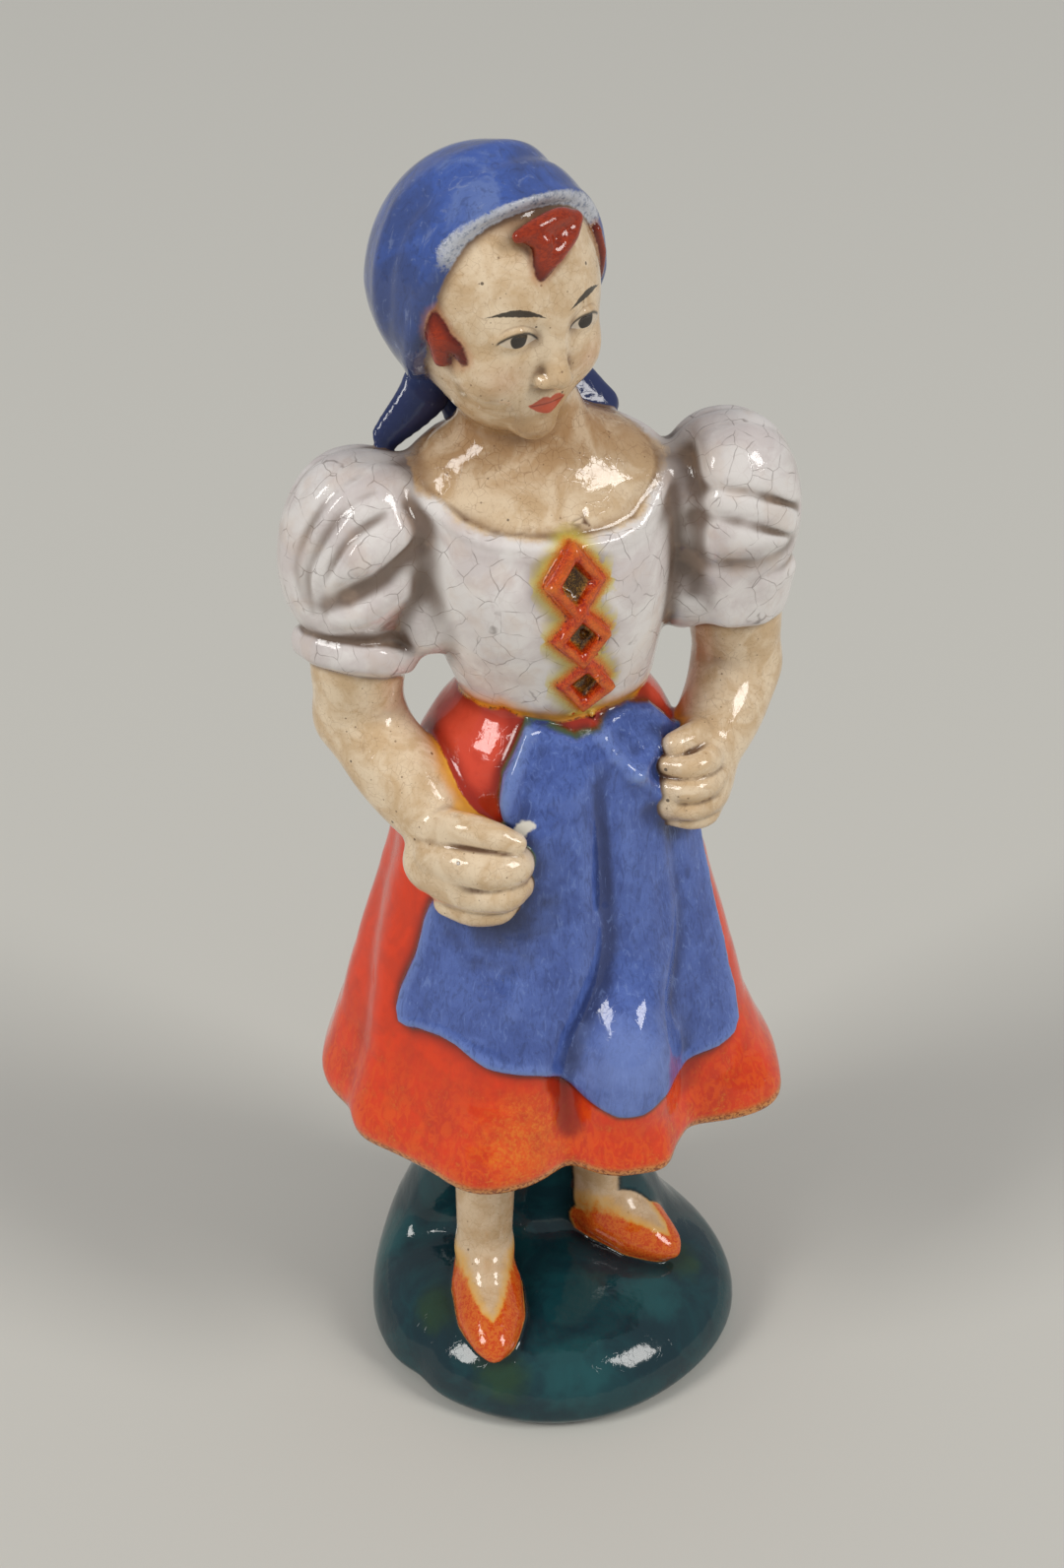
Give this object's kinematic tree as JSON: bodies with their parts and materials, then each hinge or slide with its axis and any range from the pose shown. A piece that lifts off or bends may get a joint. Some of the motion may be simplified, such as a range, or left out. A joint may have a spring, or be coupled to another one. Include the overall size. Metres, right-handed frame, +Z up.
{
  "type": "ceramic figurine",
  "caption": "Glazed earthenware figurine of a village girl in headscarf, puffed blouse, skirt and apron, standing fists on hips on a low round mound.",
  "frame": {"origin": "centre of the round underside of the mound, the face that it stands on", "axes": "+Z up to the crown of the scarf, -Y the way her body faces, +X towards her left hand"},
  "size_m": [0.076, 0.0632, 0.2093],
  "materials": {
    "glazed_clay": "clear crackled glaze over painted colours"
  },
  "bodies": {
    "root": {"figurine": "glazed_clay"}
  },
  "joints": []
}
